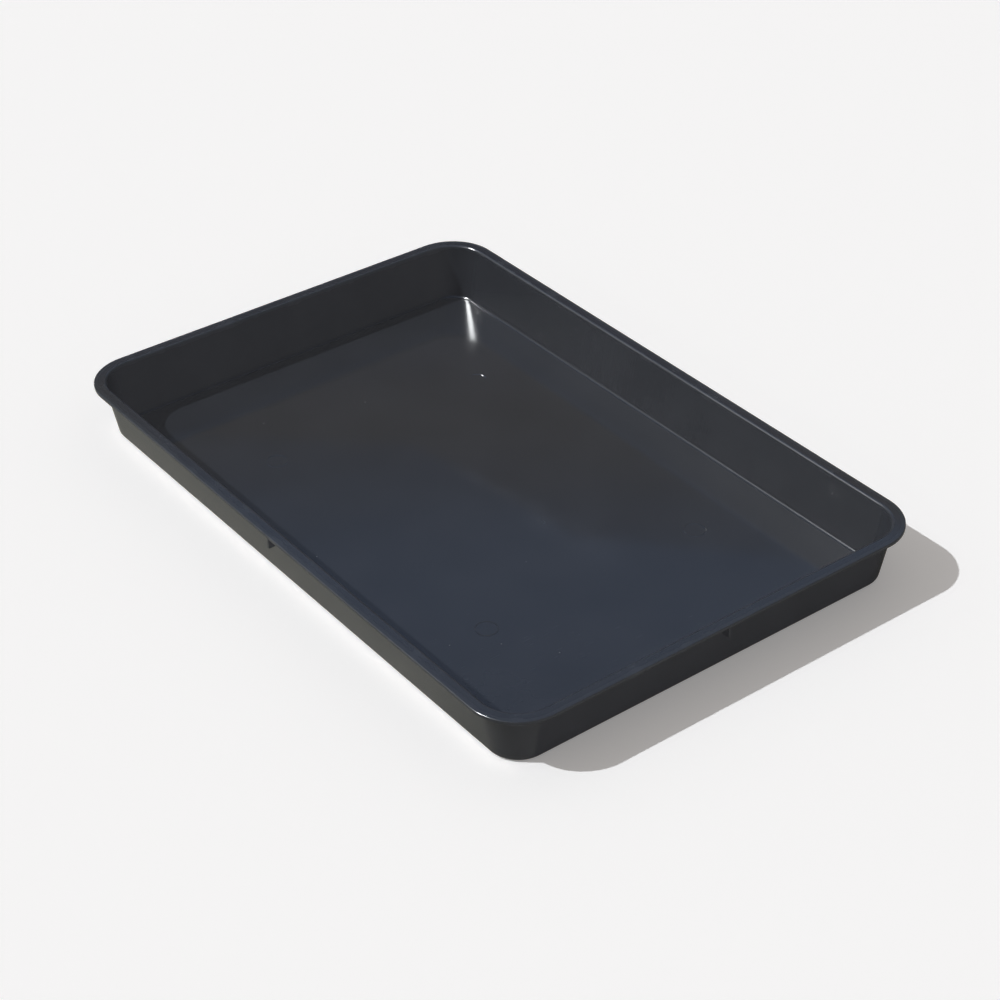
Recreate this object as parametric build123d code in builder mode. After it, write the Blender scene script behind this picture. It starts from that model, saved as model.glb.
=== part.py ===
from build123d import *
import os

# Shallow rectangular paint tray, moulded in one piece. Millimetres, +Z up.
# X runs along the long side and Y along the short side. The origin is the centre of the
# base, on the surface that the tray stands on.

# Rim, over the outside of its lip
length = 600.0
width = 406.0
height = 51.0
corner_radius = 42.0

# Walls. Every outline of the tray is the rim's outline moved inwards by an inset, so the
# rounded corners share their centres from the lip down to the base.
outer_foot_inset = 17.1
outer_draft = 10.0
inner_foot_inset = 19.2
inner_draft = 10.3
floor_thickness = 2.0

# Flange round the top, with its edge turned down into a small lip
flange_thickness = 2.4
lip_depth = 3.6
lip_thickness = 2.2

# Roundings
mouth_radius = 2.0
floor_corner_radius = 3.0
base_corner_radius = 5.0
groove_radius = 1.0
lip_edge_radius = 0.8

# The floor rises to its middle like a very low hipped roof, and the underside follows it,
# so the tray stands on a flat band just inside the edge of its base.
crown_height = 1.2
crown_inset = 31.5
foot_band_inset = 33.0

# Stacking ribs under the flange, one at the middle of each side
rib_thickness = 2.0
rib_drop = 8.0
rib_root_inset = 11.0

# Ejector witness rings on the floor, at its quarter points
ring_spacing_x = 290.0
ring_spacing_y = 208.0
ring_radius = 8.75
ring_bead_radius = 0.4

# Moulding gate in the middle of the underside
gate_radius = 7.0
gate_depth = 0.6
gate_stub_radius = 1.5
gate_stub_height = 0.4


def outline(inset):
    """The rim's outline moved inwards, added to the sketch being built."""
    return RectangleRounded(length - 2 * inset, width - 2 * inset, corner_radius - inset)


def edges_at(part, z):
    """The part's level edges at one height."""
    return part.edges().filter_by(Plane.XY).filter_by_position(Axis.Z, z - 0.01, z + 0.01)


def crown_rise(x, y):
    """How far the crown stands above the edge of the floor at one point."""
    to_wall = min(length / 2 - abs(x), width / 2 - abs(y)) - crown_inset
    return crown_height * to_wall / (width / 2 - crown_inset)


def hipped_crown(z, inset, mode):
    """A low hipped roof on the level z, whose ridge runs along the middle of the tray."""
    with BuildSketch(Plane.XY.offset(z)) as eaves:
        Rectangle(length - 2 * inset, width - 2 * inset)
    with BuildSketch(Plane.XY.offset(z + crown_height)) as ridge:
        Rectangle(length - width, 0.1)
    loft([eaves.sketch, ridge.sketch], ruled=True, mode=mode)


with BuildPart() as tray:
    # Flange and lip
    with BuildSketch(Plane.XY.offset(height - lip_depth)):
        outline(0)
    extrude(amount=lip_depth)
    fillet(tray.edges().filter_by(Plane.XY), lip_edge_radius)
    with BuildSketch(Plane.XY.offset(height - lip_depth)):
        outline(lip_thickness)
    extrude(amount=lip_depth - flange_thickness, mode=Mode.SUBTRACT)

    # Drafted body, with a rounded edge to stand on and a rounded groove under the flange
    with BuildSketch():
        outline(outer_foot_inset)
    extrude(amount=height, taper=-outer_draft)
    fillet(edges_at(tray, 0), base_corner_radius)
    fillet(edges_at(tray, height - flange_thickness), groove_radius)

    # Stacking ribs, flush with the lip, from the flange down to their level ends
    rib_run = rib_root_inset / 2
    with BuildSketch(Plane.XY.offset(height - lip_depth - rib_drop)):
        with Locations((length / 2 - rib_run, 0), (rib_run - length / 2, 0)):
            Rectangle(rib_root_inset, rib_thickness)
        with Locations((0, width / 2 - rib_run), (0, rib_run - width / 2)):
            Rectangle(rib_thickness, rib_root_inset)
    extrude(amount=rib_drop + lip_depth - flange_thickness / 2)

    # Hollow inside
    with BuildSketch(Plane.XY.offset(floor_thickness)):
        outline(inner_foot_inset)
    extrude(amount=height, taper=-inner_draft, mode=Mode.SUBTRACT)
    fillet(edges_at(tray, floor_thickness), floor_corner_radius)
    fillet(tray.faces().sort_by(Axis.Z)[-1].inner_wires()[0].edges(), mouth_radius)

    # Crowned floor, above and below
    hipped_crown(floor_thickness, crown_inset, Mode.ADD)
    hipped_crown(0, foot_band_inset, Mode.SUBTRACT)

    # Witness rings, half sunk in the floor
    ring_level = floor_thickness + crown_rise(ring_spacing_x / 2, ring_spacing_y / 2)
    with Locations((0, 0, ring_level)):
        with GridLocations(ring_spacing_x, ring_spacing_y, 2, 2):
            Torus(ring_radius, ring_bead_radius)

    # Gate recess with the broken-off stub in it
    gate_level = crown_height + gate_depth
    with BuildSketch():
        Circle(gate_radius)
    extrude(amount=gate_level, mode=Mode.SUBTRACT)
    with BuildSketch(Plane.XY.offset(gate_level - gate_stub_height)):
        Circle(gate_stub_radius)
    extrude(amount=2 * gate_stub_height)

tray.part.label = "tray"

os.makedirs("parts", exist_ok=True)
export_step(tray.part, "parts/tray.step")
print("volume", tray.part.volume, "box", tray.part.bounding_box())
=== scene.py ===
import math

import bmesh
import bpy
import numpy as np
from mathutils import Matrix, Vector, noise


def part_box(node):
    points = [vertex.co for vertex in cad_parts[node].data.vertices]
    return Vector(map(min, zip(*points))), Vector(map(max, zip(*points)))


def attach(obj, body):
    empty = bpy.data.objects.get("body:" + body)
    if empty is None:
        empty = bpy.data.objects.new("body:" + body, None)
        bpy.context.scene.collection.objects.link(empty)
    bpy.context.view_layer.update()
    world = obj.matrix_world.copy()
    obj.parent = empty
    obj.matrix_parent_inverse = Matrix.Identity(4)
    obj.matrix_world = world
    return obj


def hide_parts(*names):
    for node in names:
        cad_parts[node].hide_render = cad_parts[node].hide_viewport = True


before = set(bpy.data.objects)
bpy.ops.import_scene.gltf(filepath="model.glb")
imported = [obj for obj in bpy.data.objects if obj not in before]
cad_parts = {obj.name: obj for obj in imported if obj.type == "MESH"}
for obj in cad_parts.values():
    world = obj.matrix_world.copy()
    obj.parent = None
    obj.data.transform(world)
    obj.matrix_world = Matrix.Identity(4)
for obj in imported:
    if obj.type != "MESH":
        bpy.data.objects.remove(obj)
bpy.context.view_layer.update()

MM = 0.001

# ---------------------------------------------------------------- the tray's dimensions
# Metres, as in the CAD model. The overall sizes are read from the frame.
low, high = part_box("tray")
LENGTH, WIDTH, HEIGHT = (high[i] - low[i] for i in range(3))
CORNER_RADIUS = 42 * MM
OUTER_FOOT_INSET, OUTER_DRAFT = 17.1 * MM, math.radians(10.0)
INNER_FOOT_INSET, INNER_DRAFT = 19.2 * MM, math.radians(10.3)
FLOOR_THICKNESS = 2.0 * MM
FLANGE_THICKNESS, LIP_DEPTH, LIP_THICKNESS = 2.4 * MM, 3.6 * MM, 2.2 * MM
FLANGE_DROOP = 0.3 * MM
MOUTH_RADIUS, FLOOR_CORNER_RADIUS, BASE_CORNER_RADIUS = 2.0 * MM, 3.0 * MM, 5.0 * MM
GROOVE_RADIUS, LIP_EDGE_RADIUS = 1.0 * MM, 0.8 * MM
LIP_FOOT_RADIUS, LIP_ROOT_RADIUS = 0.3 * MM, 0.5 * MM
FLOOR_EDGE_INSET, BASE_EDGE_INSET, FOOT_BAND_INSET = 26 * MM, 24 * MM, 33 * MM
RIB_THICKNESS, RIB_DROP = 2.0 * MM, 8.0 * MM
RING_X, RING_Y, RING_RADIUS = 145 * MM, 104 * MM, 8.75 * MM
RING_BEAD_WIDTH, RING_BEAD_HEIGHT = 1.0 * MM, 0.12 * MM
PROUD_RING_HEIGHT, PROUD_SIDE = 0.5 * MM, (-0.45, 0.89)
GATE_RADIUS, GATE_DEPTH, GATE_STUB_RADIUS, GATE_STUB_HEIGHT = 7 * MM, 0.6 * MM, 1.5 * MM, 0.4 * MM

# The floor's crown: a soft hipped roof that climbs from the walls to a ridge
CROWN_SLOPE = math.radians(0.42)
CROWN_START, CROWN_BLEND = 8 * MM, 6 * MM
CROWN_EDGE = INNER_FOOT_INSET + FLOOR_CORNER_RADIUS
RIDGE_Y, RIDGE_SLANT = 12 * MM, 0.11
WAVE_LENGTH, WAVE_HEIGHT, WAVE_FADE = 60 * MM, 0.03 * MM, 32 * MM
RIPPLE_SHARE, RIPPLE_HEIGHT_SHARE = 0.45, 0.4

# The plastic's colours, gloss and surface relief
BODY_DARK, BODY_LIGHT = (0.0195, 0.0200, 0.0222), (0.0220, 0.0225, 0.0250)
LEVEL_ROUGHNESS, WALL_ROUGHNESS = 0.24, 0.26
IOR, COAT, COAT_ROUGHNESS, COAT_BUMP = 1.49, 0.70, 0.12, 0.4
POLISH_DEPTH, GRAIN_DEPTH, SCRATCH_DEPTH = 0.040 * MM, 0.0012 * MM, 0.006 * MM
POLISH_SCALE, MOTTLE_SCALE, GRAIN_SCALE = 450, 14, 420
# The first colour is the pale of scuffs, worn edges and scratches, and also of the painted sheen
# along the floor's ridge
RUBBED_AND_SHEEN, DUSTY = (0.07, 0.075, 0.085), (0.10, 0.10, 0.10)
SCUFF_SCALE, SCUFF_ROUGHNESS, EDGE_ROUGHNESS, RIM_WEAR = 45, 0.05, 0.10, 0.09
FLOOR_SCRATCHES = ((0.7, 0.7 * MM, 0.70), (-0.4, 0.8 * MM, 0.71))  # turn, spacing, rarity
RIM_SCRATCHES = (1.2, 0.7 * MM, 0.66)
FLOOR_SCRATCHED, RIM_SCRATCHED, SCRATCH_PALE = 0.15, 0.25, 0.25
SPECK_SPACING, SPECK_SIZE, SPECK_HEIGHT, SPECK_PALE = 30 * MM, 0.7 * MM, 0.05 * MM, 0.5
EDGE_WEAR_INNER, EDGE_WEAR_OUTER = 0.5 * MM, 2.5 * MM

# Where along the ridge its painted sheen starts, is full, fades, ends and is widest: a lighter
# colour painted along the ridge that stands in for the ridge's glow
SHEEN_START, SHEEN_FULL, SHEEN_FADE, SHEEN_END, SHEEN_WIDEST = -60 * MM, 0, 70 * MM, 190 * MM, 230 * MM
SHEEN_WIDTH, SHEEN_SPREAD, RIDGE_SHEEN, SHEEN_PATCH_SCALE = 10 * MM, 36 * MM, 0.14, 25

# What the gloss mirrors, against the sine of the angle above level: dim low down, then a warm
# band, a dark gap and a blue sky. It is darker towards SKY_SHADE.
SKY = [
    (0.46, (0.03, 0.035, 0.06)), (0.50, (0.09, 0.10, 0.16)), (0.52, (0.17, 0.115, 0.0)),
    (0.545, (0.16, 0.105, 0.0)), (0.566, (0.02, 0.03, 0.06)), (0.59, (0.125, 0.24, 0.47)),
    (0.63, (0.12, 0.23, 0.455)), (0.65, (0.095, 0.175, 0.35)), (1.0, (0.10, 0.17, 0.33)),
]
SKY_SHADE, SKY_SHADE_OVER, SKY_DARK = (0.6, 0.8, 0.0), (0.12, 0.5), (0.05, 0.06, 0.08)

# The surround as the camera and the tray's diffuse colour see it, and the lights' strengths,
# widths in degrees and colours. KEY gives the shadows, GLINT the highlights, FILL the lift.
BACKDROP, AMBIENT = (0.88, 0.88, 0.87), (0.24, 0.24, 0.245)
KEY_TOWARDS = (-0.332, -0.599, 0.729)
KEY, GLINT, FILL = 2.5, 13.0, 2.35
KEY_ANGLE, GLINT_ANGLE = 0.7, 17
KEY_COLOUR, GLINT_COLOUR = (0.87, 0.97, 1.08), (0.97, 0.99, 1.0)
FILL_X, FILL_Y, FILL_Z = 1.1, 0.78, 0.9

# The stage, and how it looks in the gloss: dimmer where X is beyond the range given, which is
# painted shade standing in for the ground the tray shades on its +X side
STAGE_COLOUR, STAGE_LIFT = (0.95, 0.87, 0.80), 0.20
STAGE_SIZE, STAGE_SHADE_OVER = 60, (0.15, 0.33)
STAGE_MIRRORED, STAGE_MIRRORED_SHADE = (0.39, 0.355, 0.28), (0.14, 0.13, 0.095)

# The camera: its direction from the tray, its turn, what it looks at and its lens in mm
AZIMUTH, ELEVATION, ROLL = math.radians(53.15), math.radians(34.7), math.radians(-0.8)
AIM, DISTANCE, LENS, SENSOR = Vector((0.0405, -0.0113, 0.024)), 1.859, 83.93, 36

# Spacing of the floor's mesh, and half the side of the square round each witness ring. HAIR is
# less than any real distance on the tray.
PITCH, PATCH, HAIR = 3 * MM, 15 * MM, 0.001 * MM
CORNER_STEPS, SHARP_ANGLE = 18, math.radians(40)

SPINE_X, SPINE_Y = LENGTH / 2 - CORNER_RADIUS, WIDTH / 2 - CORNER_RADIUS


# ---------------------------------------------------------------- section through the wall
def rounded(corners, hold=0.15 * MM):
    """Points along a polyline of (inset, z, radius, steps) corners, with an arc at each
    corner that has a radius. A point just outside each arc keeps the flat beside it level."""
    points = [Vector(corners[0][:2])]
    for before, (inset, z, radius, steps), after in zip(corners, corners[1:], corners[2:]):
        corner = Vector((inset, z))
        if not radius:
            points.append(corner)
            continue
        back = (Vector(before[:2]) - corner).normalized()
        ahead = (Vector(after[:2]) - corner).normalized()
        half = back.angle(ahead) / 2
        reach = radius / math.tan(half)
        centre = corner + (back + ahead).normalized() * radius / math.sin(half)
        start = corner + back * reach - centre
        turn = start.angle_signed(corner + ahead * reach - centre)
        points.append(corner + back * (reach + hold))
        points += [centre + Matrix.Rotation(-turn * k / steps, 2) @ start for k in range(steps + 1)]
        points.append(corner + ahead * (reach + hold))
    points.append(Vector(corners[-1][:2]))
    return points


def run(inset_a, z_a, inset_b, z_b, count):
    """Plain corners at both ends of a straight stretch and evenly between them."""
    return [
        (inset_a + (inset_b - inset_a) * k / count, z_a + (z_b - z_a) * k / count, 0, 0)
        for k in range(count + 1)
    ]


def inner_wall(z):
    """Inset of the inside of the wall at a height."""
    return INNER_FOOT_INSET - (z - FLOOR_THICKNESS) * math.tan(INNER_DRAFT)


def outer_wall(z):
    """Inset of the outside of the wall at a height."""
    return OUTER_FOOT_INSET - z * math.tan(OUTER_DRAFT)


GROOVE_Z = HEIGHT - FLANGE_THICKNESS
LIP_Z = HEIGHT - LIP_DEPTH
RIB_Z = LIP_Z - RIB_DROP


def wall_section():
    """The section as (inset, z) points, from the floor over the rim to the underside."""
    wall_low, wall_high = FLOOR_THICKNESS + 5 * MM, HEIGHT - 4 * MM
    skirt_low, skirt_high = 7 * MM, GROOVE_Z - 3 * MM
    return rounded(
        run(CORNER_RADIUS, FLOOR_THICKNESS, FLOOR_EDGE_INSET, FLOOR_THICKNESS, 5)
        + [(INNER_FOOT_INSET, FLOOR_THICKNESS, FLOOR_CORNER_RADIUS, 8)]
        + run(inner_wall(wall_low), wall_low, inner_wall(wall_high), wall_high, 6)
        + [(inner_wall(HEIGHT), HEIGHT, MOUTH_RADIUS, 7)]
        + [(inner_wall(HEIGHT) / 2, HEIGHT - FLANGE_DROOP / 2, 0, 0)]
        + [(0, HEIGHT - FLANGE_DROOP, LIP_EDGE_RADIUS, 5), (0, LIP_Z, LIP_EDGE_RADIUS, 5)]
        + [(LIP_THICKNESS, LIP_Z, LIP_FOOT_RADIUS, 2)]
        + [(LIP_THICKNESS, GROOVE_Z, LIP_ROOT_RADIUS, 3)]
        + [(outer_wall(GROOVE_Z), GROOVE_Z, GROOVE_RADIUS, 5)]
        + [(outer_wall(skirt_high), skirt_high, 0, 0)]
        + run(outer_wall(RIB_Z), RIB_Z, outer_wall(skirt_low), skirt_low, 5)
        + [(OUTER_FOOT_INSET, 0, BASE_CORNER_RADIUS, 8), (BASE_EDGE_INSET, 0, 0, 0)]
        + run(FOOT_BAND_INSET, 0, CORNER_RADIUS, 0, 3)
    )


# ---------------------------------------------------------------- the tray's mesh
def spread(stops):
    """Values from the first stop to the last, through every stop, about PITCH apart."""
    values = [stops[0]]
    for a, b in zip(stops, stops[1:]):
        count = max(1, math.ceil((b - a) / PITCH - 1e-6))
        values += [a + (b - a) * k / count for k in range(1, count + 1)]
    return values


def mirrored(stops):
    """The stops and their negatives, in order."""
    return [-s for s in reversed(stops)] + list(stops)


def floor_rise(x, y):
    """How far the crown lifts the floor at a point: four nearly flat facets that climb from the
    walls, soft where they meet, with slow waves left by the moulding."""
    a, b = LENGTH / 2 - CROWN_EDGE, WIDTH / 2 - CROWN_EDGE
    ridge = RIDGE_Y + RIDGE_SLANT * x
    gaps = (a - x, a + x, b * (b - y) / (b - ridge), b * (b + y) / (b + ridge))
    nearest = min(gaps)
    total = sum(math.exp((nearest - g) / CROWN_BLEND) for g in gaps)
    d = max(nearest - CROWN_BLEND * math.log(total), 0)
    run_in = d * d / (2 * CROWN_START) if d < CROWN_START else d - CROWN_START / 2
    wave = noise.noise(Vector((x, y, 0)) / WAVE_LENGTH)
    ripple = noise.noise(Vector((x, y, 1)) / (RIPPLE_SHARE * WAVE_LENGTH))
    wave += RIPPLE_HEIGHT_SHARE * ripple
    return CROWN_SLOPE * run_in + WAVE_HEIGHT * wave * min(d / WAVE_FADE, 1) ** 2


class Shell:
    """A surface put together from sheets of points, whose shared borders are then merged."""

    def __init__(self):
        self.points, self.faces = [], []

    def face(self, points):
        first = len(self.points)
        self.points += points
        self.faces.append(range(first, first + len(points)))

    def sheet(self, rows, skip=lambda i, j: False):
        """Rows of points with a quad between each four neighbours, but for skipped ones."""
        first, wide = len(self.points), len(rows[0])
        for row in rows:
            self.points += row
        for i in range(len(rows) - 1):
            for j in range(wide - 1):
                if not skip(i, j):
                    at = first + i * wide + j
                    self.faces.append((at, at + 1, at + wide + 1, at + wide))

    def mesh(self, name):
        made = bpy.data.meshes.new(name)
        made.from_pydata([tuple(p) for p in self.points], [], [tuple(f) for f in self.faces])
        grown = bmesh.new()
        grown.from_mesh(made)
        bmesh.ops.remove_doubles(grown, verts=grown.verts, dist=HAIR)
        bmesh.ops.recalc_face_normals(grown, faces=grown.faces)
        for edge in grown.edges:
            edge.smooth = len(edge.link_faces) == 2 and edge.calc_face_angle() < SHARP_ANGLE
        for face in grown.faces:
            face.smooth = True
        grown.to_mesh(made)
        grown.free()
        return made


def stations(xs, ys):
    """(x, y, direction) all round the spine, counter-clockwise from the +X side."""
    quarter = [math.pi / 2 * k / CORNER_STEPS for k in range(1, CORNER_STEPS)]
    found = []
    for side in range(4):
        turn = side * math.pi / 2
        along, across = (ys, SPINE_X) if side % 2 == 0 else (xs, SPINE_Y)
        flip = Matrix.Rotation(turn, 2)
        found += [(*(flip @ Vector((across, t))), turn) for t in along]
        corner = flip @ Vector((across, along[-1]))
        found += [(*corner, turn + a) for a in quarter]
    return found + found[:1]


def polar_patch(shell, xs, ys, centre, section, level, side=None):
    """Fills the square round a centre with rings: the square's border, then circles.
    section holds (radius, height) pairs from the outside in, and level gives the base height.
    With a side, the heights fade away from that side of the centre."""
    cx, cy = centre
    in_x = [x for x in xs if abs(x - cx) < PATCH + 0.01 * MM]
    in_y = [y for y in ys if abs(y - cy) < PATCH + 0.01 * MM]
    border = [(x, in_y[0]) for x in in_x[:-1]] + [(in_x[-1], y) for y in in_y[:-1]]
    border += [(x, in_y[-1]) for x in in_x[:0:-1]] + [(in_x[0], y) for y in in_y[:0:-1]]
    border.append(border[0])
    rows = [[Vector((x, y, level(x, y))) for x, y in border]]
    outer = section[0][0]
    for share in (0.25, 0.5, 0.75):
        row = []
        for x, y in border:
            away = Vector((x - cx, y - cy))
            spot = Vector((cx, cy)) + away.lerp(away.normalized() * outer, share)
            row.append(Vector((*spot, level(*spot))))
        rows.append(row)
    for radius, height in section:
        row = []
        for x, y in border:
            away = Vector((x - cx, y - cy)).normalized()
            spot = Vector((cx, cy)) + away * radius
            share = 1 if side is None else max(0, away @ Vector(side)) ** 4
            row.append(Vector((*spot, level(*spot) + height * share)))
        rows.append(row)
    shell.sheet(rows)


def ring_section(bead_height):
    """A fine raised bead on a circle, then level to the middle."""
    bead = [
        (RING_RADIUS + RING_BEAD_WIDTH * t, bead_height * math.cos(math.pi * t) ** 2)
        for t in np.linspace(0.5, -0.5, 11)
    ]
    outside, inside = RING_RADIUS + RING_BEAD_WIDTH, RING_RADIUS - RING_BEAD_WIDTH
    level = [(inside, 0), (0.6 * RING_RADIUS, 0), (0.3 * RING_RADIUS, 0), (0, 0)]
    return [(outside, 0)] + bead + level


def gate_section():
    """A shallow round recess in the underside, with the broken-off stub in its middle."""
    edge = 0.3 * MM
    stub = GATE_DEPTH - GATE_STUB_HEIGHT
    return [
        (GATE_RADIUS + edge, 0), (GATE_RADIUS, 0), (GATE_RADIUS - edge, GATE_DEPTH),
        (GATE_RADIUS / 2, GATE_DEPTH), (GATE_STUB_RADIUS + edge, GATE_DEPTH),
        (GATE_STUB_RADIUS, stub), (GATE_STUB_RADIUS / 2, stub), (0, stub),
    ]


def in_square(x, y, centre):
    return abs(x - centre[0]) < PATCH and abs(y - centre[1]) < PATCH


def floor_sheet(shell, xs, ys, base, patches):
    """The level part of the floor or the underside, with a polar patch at each centre.
    patches holds (centre, section, side) for each."""
    def level(x, y):
        return base + floor_rise(x, y)

    def skip(i, j):
        x, y = (xs[i] + xs[i + 1]) / 2, (ys[j] + ys[j + 1]) / 2
        return any(in_square(x, y, patch[0]) for patch in patches)

    shell.sheet([[Vector((x, y, level(x, y))) for y in ys] for x in xs], skip)
    for centre, section, side in patches:
        polar_patch(shell, xs, ys, centre, section, level, side)


def wall_and_rim(shell, xs, ys):
    """The section swept round the spine, with a rib under the lip at each side's middle."""
    section = wall_section()
    lip_low = next(
        j for j, p in enumerate(section) if p.x < HAIR and p.y < HEIGHT - 2 * LIP_EDGE_RADIUS
    )
    rib_foot = next(j for j, p in enumerate(section) if j > lip_low and abs(p.y - RIB_Z) < HAIR)
    spine = stations(xs, ys)

    def place(x, y, turn, inset, z):
        out = CORNER_RADIUS - inset
        spot = Vector((x + out * math.cos(turn), y + out * math.sin(turn)))
        on_floor = inset > CROWN_EDGE and z < HEIGHT / 2
        return Vector((*spot, z + (floor_rise(*spot) if on_floor else 0)))

    rows = [[place(x, y, turn, p.x, p.y) for p in section] for x, y, turn in spine]
    middles = [
        k for k in range(len(spine) - 1)
        if spine[k][:2] != spine[k + 1][:2]
        and min(abs(spine[k][0] + spine[k + 1][0]), abs(spine[k][1] + spine[k + 1][1])) < HAIR
    ]
    shell.sheet(rows, lambda i, j: i in middles and lip_low <= j < rib_foot)
    for k in middles:
        toes = [place(*spine[n], 0, RIB_Z) for n in (k, k + 1)]
        heels = [rows[n][rib_foot] for n in (k, k + 1)]
        tops = [rows[n][lip_low] for n in (k, k + 1)]
        shell.face([tops[0], tops[1], toes[1], toes[0]])
        shell.face([toes[0], toes[1], heels[1], heels[0]])
        for n, toe in zip((k, k + 1), toes):
            shell.face(rows[n][lip_low:rib_foot + 1] + [toe])


def make_tray():
    rib = RIB_THICKNESS / 2
    xs = spread(mirrored([rib, PATCH, RING_X - PATCH, RING_X + PATCH, SPINE_X]))
    ys = spread(mirrored([rib, PATCH, RING_Y - PATCH, RING_Y + PATCH, SPINE_Y]))
    shell = Shell()
    wall_and_rim(shell, xs, ys)
    even, proud = ring_section(RING_BEAD_HEIGHT), ring_section(PROUD_RING_HEIGHT)
    rings = [((sx * RING_X, sy * RING_Y), even, None) for sx, sy in ((-1, -1), (1, -1), (1, 1))]
    rings.append(((-RING_X, RING_Y), proud, PROUD_SIDE))
    floor_sheet(shell, xs, ys, FLOOR_THICKNESS, rings)
    floor_sheet(shell, xs, ys, 0, [((0, 0), gate_section(), None)])
    tray = bpy.data.objects.new("tray_shell", shell.mesh("tray_shell"))
    bpy.context.scene.collection.objects.link(tray)
    return tray


# ---------------------------------------------------------------- material
def blend(low_end, high_end, value):
    """0 below low_end, 1 above high_end and a smooth step between, for arrays."""
    t = np.clip((value - low_end) / (high_end - low_end), 0, 1)
    return t * t * (3 - 2 * t)


def add_fields(mesh):
    """Stores what the material needs at each vertex: upright is 1 on the walls and 0 on level
    surfaces, edge is 1 along the rim's edges, the ridge mask is 1 where a painted sheen lightens
    the floor's ridge, and station is the same all along one line drawn from the floor over the rim
    to the base, which is how the mould's polishing lines run."""
    count = len(mesh.vertices)
    place, normal = np.empty(count * 3), np.empty(count * 3)
    mesh.vertices.foreach_get("co", place)
    mesh.vertex_normals.foreach_get("vector", normal)
    place, normal = place.reshape(-1, 3), normal.reshape(-1, 3)
    spine = np.clip(place[:, :2], (-SPINE_X, -SPINE_Y), (SPINE_X, SPINE_Y))
    away = place[:, :2] - spine
    inset = CORNER_RADIUS - np.hypot(away[:, 0], away[:, 1])
    turn = np.arctan2(away[:, 1], away[:, 0])
    upright = blend(0.1, 0.5, 1 - np.abs(normal[:, 2]))
    edge = np.zeros(count)
    for edge_inset, edge_z in ((inner_wall(HEIGHT), HEIGHT), (0, HEIGHT)):
        gap = np.hypot(inset - edge_inset, place[:, 2] - edge_z)
        edge = np.maximum(edge, 1 - blend(EDGE_WEAR_INNER, EDGE_WEAR_OUTER, gap))
    # Mask of the painted sheen along the floor's ridge: a lighter colour standing in for the
    # ridge's glow
    along = place[:, 0]
    ridge_gap = np.abs(place[:, 1] - RIDGE_Y - RIDGE_SLANT * along)
    sheen_width = blend(SHEEN_START, SHEEN_WIDEST, along) * SHEEN_SPREAD + SHEEN_WIDTH
    ridge_sheen = (1 - blend(0, 1, ridge_gap / sheen_width)) * blend(SHEEN_START, SHEEN_FULL, along)
    ridge_sheen *= 1 - blend(SHEEN_FADE, SHEEN_END, along)
    for name, values in (("upright", upright), ("edge", edge), ("ridge_sheen", ridge_sheen)):
        mesh.attributes.new(name, "FLOAT", "POINT").data.foreach_set("value", values)
    outline = spine + CORNER_RADIUS * np.column_stack((np.cos(turn), np.sin(turn)))
    station = np.column_stack((outline, np.zeros(count))).ravel()
    mesh.attributes.new("station", "FLOAT_VECTOR", "POINT").data.foreach_set("vector", station)


class Nodes:
    """Adds shader nodes to a tree. Each method returns the new node's output socket."""

    def __init__(self, tree):
        self.tree = tree

    def add(self, kind, inputs, output=0, **settings):
        made = self.tree.nodes.new(kind)
        for key, value in settings.items():
            setattr(made, key, value)
        for key, value in inputs.items():
            if isinstance(value, bpy.types.NodeSocket):
                self.tree.links.new(value, made.inputs[key])
            else:
                made.inputs[key].default_value = value
        return made.outputs[output] if made.outputs else None

    def math(self, operation, a, b=0.0, c=0.0):
        return self.add("ShaderNodeMath", {0: a, 1: b, 2: c}, operation=operation)

    def between(self, value, low_end, high_end, to_low=0.0, to_high=1.0):
        """Maps a value smoothly from one range to another, and clamps it there."""
        inputs = {0: value, 1: low_end, 2: high_end, 3: to_low, 4: to_high}
        return self.add("ShaderNodeMapRange", inputs, interpolation_type="SMOOTHSTEP")

    def stretch(self, vector, scale, turn=0.0):
        inputs = {0: vector, "Scale": scale, "Rotation": (0, 0, turn)}
        return self.add("ShaderNodeMapping", inputs)

    def noise(self, vector, scale, detail=2.0, roughness=0.5):
        inputs = {"Vector": vector, "Scale": scale, "Detail": detail, "Roughness": roughness}
        return self.add("ShaderNodeTexNoise", inputs)

    def field(self, name, output="Fac"):
        return self.add("ShaderNodeAttribute", {}, output, attribute_name=name)

    def mix(self, factor, a, b):
        """A colour from a to b."""
        return self.add("ShaderNodeMix", {0: factor, 6: a, 7: b}, 2, data_type="RGBA")


def scratches(nodes, place, turn, spacing, rarity):
    """Sparse fine straight scratches that lie about one way: 1 in a scratch and 0 elsewhere."""
    lined = nodes.noise(nodes.stretch(place, (1, 0.03, 1), turn), 1 / spacing, 1.0)
    patchy = nodes.noise(nodes.stretch(place, (1, 0.4, 1), turn), 0.12 / spacing, 1.0)
    fine = nodes.between(lined, rarity, rarity + 0.05)
    return nodes.math("MULTIPLY", fine, nodes.between(patchy, 0.5, 0.62))


def specks(nodes, place, spacing, size):
    """Scattered dust specks: 1 in a speck and 0 elsewhere."""
    cell = nodes.add("ShaderNodeTexVoronoi", {"Vector": place, "Scale": 1 / spacing}, "Distance")
    return nodes.between(cell, size / spacing, 0.6 * size / spacing)


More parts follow.
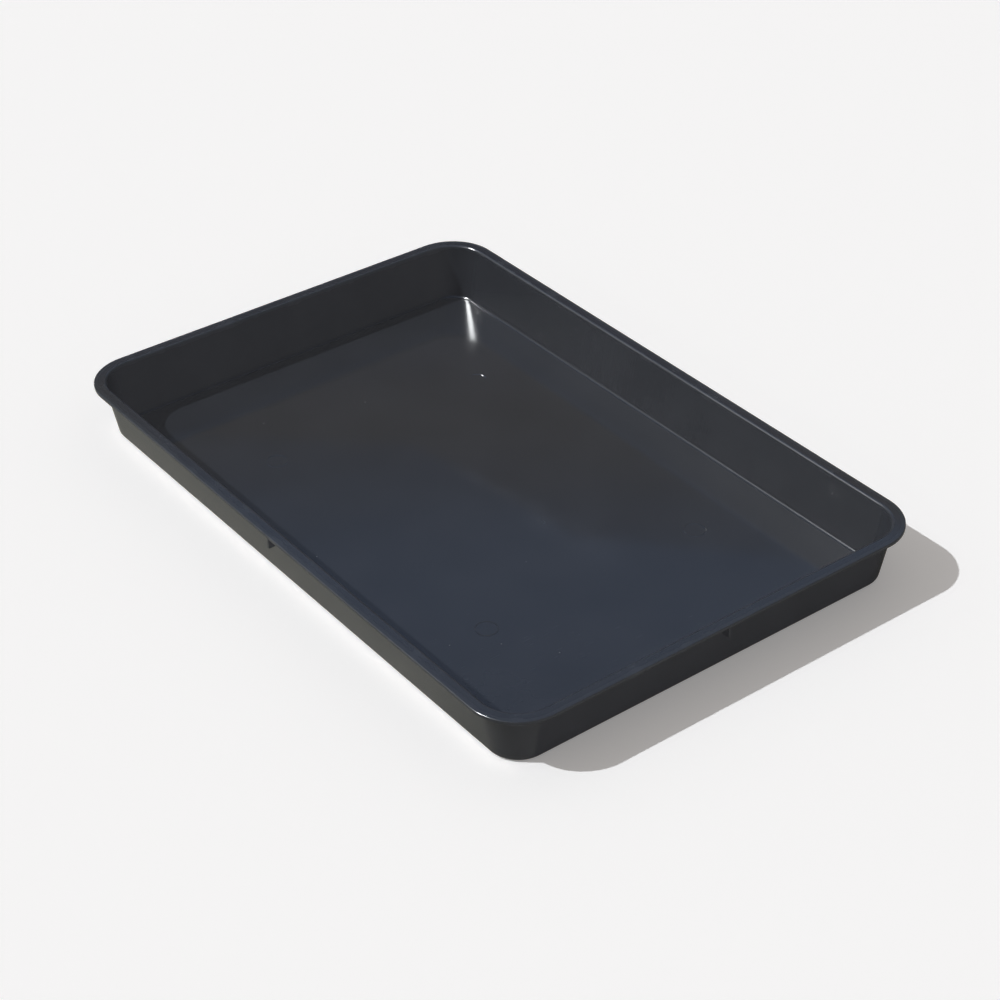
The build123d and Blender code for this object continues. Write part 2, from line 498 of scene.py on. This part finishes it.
def plastic():
    """Glossy blue-black moulded polypropylene. Level surfaces are the shiniest, the walls keep
    the mould's upright polishing lines, the rim is scuffed from handling, and a lighter sheen is
    painted along the floor's ridge as a painted highlight."""
    material = bpy.data.materials.new("moulded_plastic")
    material.use_nodes = True
    shader = material.node_tree.nodes["Principled BSDF"]
    nodes = Nodes(material.node_tree)
    place = nodes.add("ShaderNodeTexCoord", {}, "Object")
    upright, edge = nodes.field("upright"), nodes.field("edge")
    station = nodes.field("station", "Vector")

    mottle = nodes.noise(place, MOTTLE_SCALE, 4.0, 0.6)
    grain = nodes.noise(place, GRAIN_SCALE, 3.0, 0.6)
    polish = nodes.noise(station, POLISH_SCALE, 4.0, 0.7)
    climb = nodes.add("ShaderNodeSeparateXYZ", {0: place}, 2)
    rim = nodes.between(climb, HEIGHT - 6 * MM, HEIGHT - 2 * MM)
    scuffed = nodes.between(nodes.noise(place, SCUFF_SCALE, 3.0, 0.5), 0.5, 0.75)
    scuffs = nodes.math("MULTIPLY", scuffed, rim)
    one_way, other_way = (scratches(nodes, place, *kind) for kind in FLOOR_SCRATCHES)
    fine = nodes.math("MULTIPLY", nodes.math("MAXIMUM", one_way, other_way), FLOOR_SCRATCHED)
    on_rim = scratches(nodes, place, *RIM_SCRATCHES)
    on_rim = nodes.math("MULTIPLY", on_rim, nodes.math("MULTIPLY", rim, RIM_SCRATCHED))
    fine = nodes.math("MAXIMUM", fine, on_rim)
    dust = specks(nodes, place, SPECK_SPACING, SPECK_SIZE)
    dust = nodes.math("MULTIPLY", dust, nodes.math("SUBTRACT", 1.0, upright))

    body = nodes.mix(nodes.between(mottle, 0.3, 0.7), (*BODY_DARK, 1), (*BODY_LIGHT, 1))
    worn = nodes.math("MULTIPLY", nodes.math("ADD", scuffs, edge), RIM_WEAR)
    # Painted sheen: a patchy lighter colour along the floor's ridge, standing in for its glow
    patchy = nodes.between(nodes.noise(place, SHEEN_PATCH_SCALE, 3.0, 0.6), 0.25, 0.7)
    patchy_ridge_sheen = nodes.math("MULTIPLY", nodes.field("ridge_sheen"), patchy)
    body = nodes.mix(nodes.math("MULTIPLY", patchy_ridge_sheen, RIDGE_SHEEN), body, (*RUBBED_AND_SHEEN, 1))
    body = nodes.mix(worn, body, (*RUBBED_AND_SHEEN, 1))
    body = nodes.mix(nodes.math("MULTIPLY", fine, SCRATCH_PALE), body, (*RUBBED_AND_SHEEN, 1))
    body = nodes.mix(nodes.math("MULTIPLY", dust, SPECK_PALE), body, (*DUSTY, 1))

    rough = nodes.between(upright, 0, 1, LEVEL_ROUGHNESS, WALL_ROUGHNESS)
    rough = nodes.math("ADD", rough, nodes.between(mottle, 0.3, 0.7, -0.01, 0.01))
    edge_rough = nodes.math("MULTIPLY", edge, EDGE_ROUGHNESS)
    rim_rough = nodes.math("MULTIPLY_ADD", scuffs, SCUFF_ROUGHNESS, edge_rough)
    rough = nodes.math("ADD", rough, rim_rough)
    rough = nodes.math("MAXIMUM", rough, nodes.math("MULTIPLY", dust, 0.5))

    polish_depth = nodes.math("MULTIPLY", upright, POLISH_DEPTH)
    height = nodes.math("MULTIPLY", nodes.math("SUBTRACT", polish, 0.5), polish_depth)
    height = nodes.math("MULTIPLY_ADD", nodes.math("SUBTRACT", grain, 0.5), GRAIN_DEPTH, height)
    height = nodes.math("MULTIPLY_ADD", fine, -SCRATCH_DEPTH, height)
    height = nodes.math("MULTIPLY_ADD", dust, SPECK_HEIGHT, height)
    bump = nodes.add("ShaderNodeBump", {"Strength": 1.0, "Distance": 1.0, "Height": height})
    faint = nodes.add("ShaderNodeBump", {"Strength": COAT_BUMP, "Distance": 1.0, "Height": height})

    tree = material.node_tree
    tree.links.new(body, shader.inputs["Base Color"])
    tree.links.new(rough, shader.inputs["Roughness"])
    tree.links.new(bump, shader.inputs["Normal"])
    tree.links.new(faint, shader.inputs["Coat Normal"])
    shader.inputs["IOR"].default_value = IOR
    shader.inputs["Specular IOR Level"].default_value = 0.5 * (1 - COAT)
    shader.inputs["Coat Weight"].default_value = COAT
    shader.inputs["Coat Roughness"].default_value = COAT_ROUGHNESS
    return material


# ---------------------------------------------------------------- stage, light and camera
def stage():
    """A plain pale floor under the tray, which is darker in the tray's gloss, with painted shade
    towards +X.
    """
    bpy.ops.mesh.primitive_plane_add(size=STAGE_SIZE)
    ground = bpy.context.object
    ground.name = "stage_floor"
    material = bpy.data.materials.new("pale_floor")
    material.use_nodes = True
    shader = material.node_tree.nodes["Principled BSDF"]
    nodes = Nodes(material.node_tree)
    place = nodes.add("ShaderNodeTexCoord", {}, "Object")
    across = nodes.add("ShaderNodeSeparateXYZ", {0: place}, 0)
    # Painted shade: in the gloss the floor darkens towards +X, standing in for the tray's shadow on
    # that side
    beyond = nodes.between(across, *STAGE_SHADE_OVER)
    mirrored_with_shade = nodes.mix(beyond, (*STAGE_MIRRORED, 1), (*STAGE_MIRRORED_SHADE, 1))
    mirrored_ray = nodes.add("ShaderNodeLightPath", {}, "Is Glossy Ray")
    pale = nodes.mix(mirrored_ray, (*STAGE_COLOUR, 1), mirrored_with_shade)
    lift = nodes.math("MULTIPLY", nodes.add("ShaderNodeLightPath", {}, "Is Camera Ray"), STAGE_LIFT)
    material.node_tree.links.new(pale, shader.inputs["Base Color"])
    material.node_tree.links.new(lift, shader.inputs["Emission Strength"])
    shader.inputs["Emission Color"].default_value = (1, 1, 1, 1)
    shader.inputs["Roughness"].default_value = 0.9
    shader.inputs["Specular IOR Level"].default_value = 0.1
    ground.data.materials.append(material)


def sun(name, towards, energy, angle, colour):
    lamp = bpy.data.objects.new(name, bpy.data.lights.new(name, "SUN"))
    lamp.data.energy, lamp.data.angle, lamp.data.color = energy, math.radians(angle), colour
    lamp.rotation_euler = Vector(towards).to_track_quat("Z", "Y").to_euler()
    bpy.context.scene.collection.objects.link(lamp)
    return lamp


def lights(tray):
    """A dim even surround, a coloured sky for the gloss to mirror, a key light, a wider one
    from the same side that only makes highlights, and four weak fill lights on the tray alone
    that lift its blacks evenly from all sides."""
    world = bpy.data.worlds.new("studio")
    bpy.context.scene.world = world
    world.use_nodes = True
    world.node_tree.nodes.clear()
    nodes = Nodes(world.node_tree)
    direction = nodes.add("ShaderNodeTexCoord", {}, "Generated")
    climb = nodes.add("ShaderNodeSeparateXYZ", {0: direction}, 2)
    ramp = world.node_tree.nodes.new("ShaderNodeValToRGB")
    world.node_tree.links.new(climb, ramp.inputs[0])
    ends = ramp.color_ramp.elements
    ends[0].position, ends[0].color = SKY[0][0], (*SKY[0][1], 1)
    ends[1].position, ends[1].color = SKY[-1][0], (*SKY[-1][1], 1)
    for at, colour in SKY[1:-1]:
        ends.new(at).color = (*colour, 1)
    sky = ramp.outputs[0]
    inputs = {0: direction, 1: SKY_SHADE}
    shade = nodes.add("ShaderNodeVectorMath", inputs, "Value", operation="DOT_PRODUCT")
    sky = nodes.mix(nodes.between(shade, *SKY_SHADE_OVER), sky, (*SKY_DARK, 1))
    sky = nodes.mix(nodes.add("ShaderNodeLightPath", {}, "Is Diffuse Ray"), sky, (*AMBIENT, 1))
    sky = nodes.mix(nodes.add("ShaderNodeLightPath", {}, "Is Camera Ray"), sky, (*BACKDROP, 1))
    nodes.add("ShaderNodeOutputWorld", {0: nodes.add("ShaderNodeBackground", {0: sky, 1: 1.0})})

    key = sun("key_light", KEY_TOWARDS, KEY, KEY_ANGLE, KEY_COLOUR)
    key.visible_glossy = False
    glint = sun("glint_light", KEY_TOWARDS, GLINT, GLINT_ANGLE, GLINT_COLOUR)
    glint.visible_diffuse = False
    receivers = bpy.data.collections.new("fill_receivers")
    receivers.objects.link(tray)
    signs = ((1, 1), (1, -1), (-1, 1), (-1, -1))
    for number, (sx, sy) in enumerate(signs):
        towards = (sx * FILL_X, sy * FILL_Y, sx * sy * FILL_Z)
        fill = sun(f"fill_light_{number}", towards, FILL, 0, (1.0, 1.0, 1.0))
        fill.data.use_shadow = False
        fill.visible_glossy = False
        fill.light_linking.receiver_collection = receivers


def camera():
    """Looks down on the tray from beyond its +X, -Y corner, turned slightly clockwise."""
    back = Vector((
        math.sin(AZIMUTH) * math.cos(ELEVATION),
        -math.cos(AZIMUTH) * math.cos(ELEVATION),
        math.sin(ELEVATION),
    ))
    view = bpy.data.objects.new("camera", bpy.data.cameras.new("camera"))
    view.data.sensor_width = SENSOR
    view.data.lens = LENS
    level = back.to_track_quat("Z", "Y").to_matrix().to_4x4()
    place, tilt = Matrix.Translation(AIM + back * DISTANCE), Matrix.Rotation(ROLL, 4, "Z")
    view.matrix_world = place @ level @ tilt
    bpy.context.scene.collection.objects.link(view)
    bpy.context.scene.camera = view


tray = make_tray()
add_fields(tray.data)
tray.data.materials.append(plastic())
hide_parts("tray")
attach(tray, "root")
stage()
lights(tray)
camera()
bpy.context.scene.view_settings.view_transform = "Standard"
